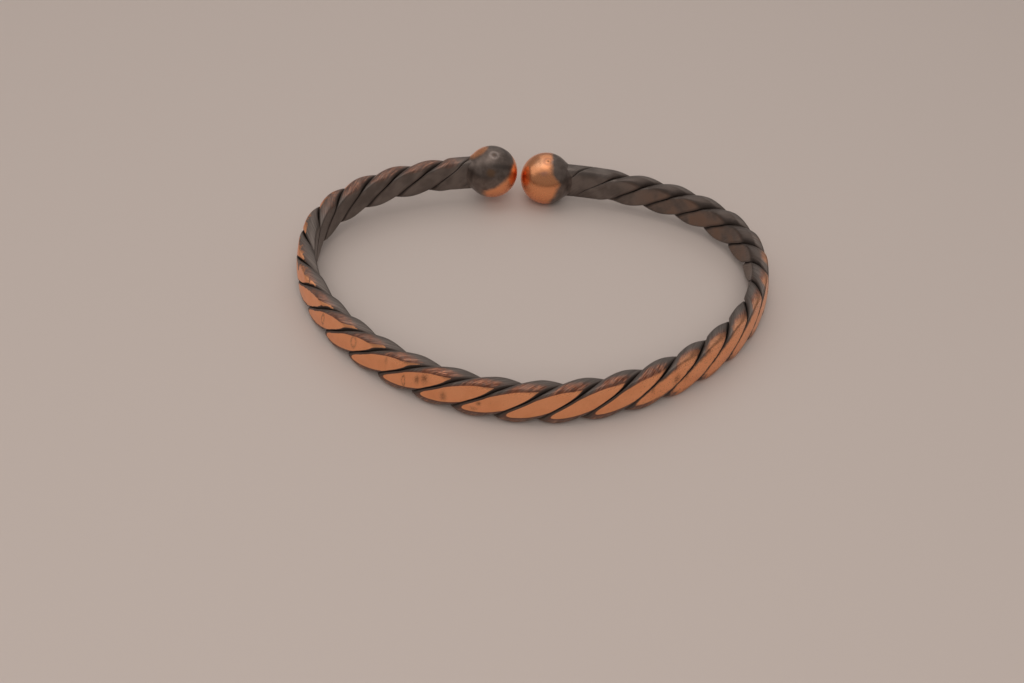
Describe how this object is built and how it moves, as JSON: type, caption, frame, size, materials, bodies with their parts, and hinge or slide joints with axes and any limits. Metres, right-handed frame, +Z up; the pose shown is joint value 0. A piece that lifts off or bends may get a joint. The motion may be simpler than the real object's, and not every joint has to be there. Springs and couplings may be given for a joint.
{
  "type": "arm cuff",
  "caption": "Open oval cuff of strands twisted into a flattened rope, with a solid ball on each end, worn round the wrist or arm.",
  "frame": {"origin": "bottom centre of the box round the cuff, on the surface that it lies on", "axes": "+X along the oval's width, +Y from the front towards the gap between the balls, +Z up through the wrist opening"},
  "size_m": [0.0676, 0.0568, 0.009],
  "materials": {
    "strand_copper": "worn copper, bright on the rolled outer faces and dark brown with patina in the grooves",
    "ball_copper": "satin copper with dark patina patches"
  },
  "bodies": {
    "root": {"strand_1": "strand_copper", "strand_2": "strand_copper", "strand_3": "strand_copper", "ball_left": "ball_copper", "ball_right": "ball_copper"}
  },
  "joints": []
}
